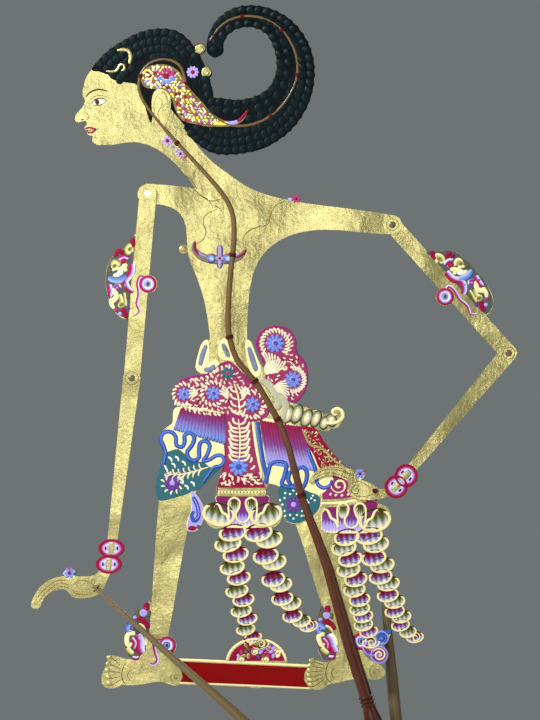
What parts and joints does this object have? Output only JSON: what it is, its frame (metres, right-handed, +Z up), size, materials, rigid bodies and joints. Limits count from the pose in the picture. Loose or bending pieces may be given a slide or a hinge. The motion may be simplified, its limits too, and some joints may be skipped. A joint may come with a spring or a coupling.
{
  "type": "flat leather rod puppet",
  "caption": "Flat leather shadow puppet on a split horn rod, with pegged shoulders and elbows and a control rod tied to each hand.",
  "frame": {"origin": "on the axis of the main rod's grip, at the middle of its straight stretch", "axes": "+Z up, along the puppet's height; the painted front faces -Y; +X to the viewer's right"},
  "size_m": [0.354, 0.0702, 0.6988],
  "materials": {
    "hide": "gold leaf and paint on hide, satin",
    "horn": "polished horn",
    "arm_rods": "polished pale horn",
    "thread": "waxed dark red thread",
    "bright_peg": "polished bone",
    "pegs": "dark horn",
    "knots": "waxed thread",
    "washer": "raw hide"
  },
  "bodies": {
    "root": {"body_sheet": "hide", "main_rod": "horn", "left_shoulder_peg": "bright_peg", "left_shoulder_knot": "knots", "left_shoulder_washer": "washer", "right_shoulder_peg": "pegs", "right_shoulder_knot": "knots", "binding_chest": "thread", "binding_curl_back": "thread", "binding_curl_end": "thread", "binding_curl_low": "thread", "binding_curl_top": "thread", "binding_ear_back": "thread", "binding_ear_front": "thread", "binding_hip_lower": "thread", "binding_hip_upper": "thread", "binding_neck": "thread", "binding_sarong": "thread", "binding_waist": "thread"},
    "left_upper_arm": {"left_upper_arm": "hide", "left_elbow_peg": "pegs", "left_elbow_knot": "knots"},
    "left_forearm": {"left_forearm": "hide"},
    "left_thread": {"left_thread": "thread"},
    "left_rod": {"left_rod": "arm_rods"},
    "right_upper_arm": {"right_upper_arm": "hide", "right_elbow_peg": "pegs", "right_elbow_knot": "knots"},
    "right_forearm": {"right_forearm": "hide"},
    "right_thread": {"right_thread": "thread"},
    "right_rod": {"right_rod": "arm_rods"}
  },
  "joints": [
    {"name": "left_shoulder", "type": "hinge", "parent": "root", "child": "left_upper_arm", "pos_m": [-0.1832, -0.0022, 0.4511], "axis": [0, -1, 0], "range_deg": [-150, 20]},
    {"name": "left_elbow", "type": "hinge", "parent": "left_upper_arm", "child": "left_forearm", "pos_m": [-0.1949, -0.0037, 0.3168], "axis": [0, 1, 0], "range_deg": [-35, 140]},
    {"name": "left_rod_swing", "type": "hinge", "parent": "left_forearm", "child": "left_thread", "pos_m": [-0.2206, -0.0037, 0.1636], "axis": [0, -1, 0], "range_deg": [-90, 40]},
    {"name": "left_rod_tilt", "type": "hinge", "parent": "left_thread", "child": "left_rod", "pos_m": [-0.2206, -0.01, 0.1636], "axis": [-0.6601, 0, -0.7511], "range_deg": [0, 60]},
    {"name": "right_shoulder", "type": "hinge", "parent": "root", "child": "right_upper_arm", "pos_m": [-0.0051, -0.0035, 0.4285], "axis": [0, -1, 0], "range_deg": [0, 150]},
    {"name": "right_elbow", "type": "hinge", "parent": "right_upper_arm", "child": "right_forearm", "pos_m": [0.0796, -0.002, 0.335], "axis": [0, -1, 0], "range_deg": [0, 85]},
    {"name": "right_rod_swing", "type": "hinge", "parent": "right_forearm", "child": "right_thread", "pos_m": [-0.0175, -0.002, 0.2345], "axis": [0, -1, 0], "range_deg": [-60, 60]},
    {"name": "right_rod_tilt", "type": "hinge", "parent": "right_thread", "child": "right_rod", "pos_m": [-0.0175, 0.0043, 0.2345], "axis": [0.9955, 0, 0.0945], "range_deg": [0, 60]}
  ]
}
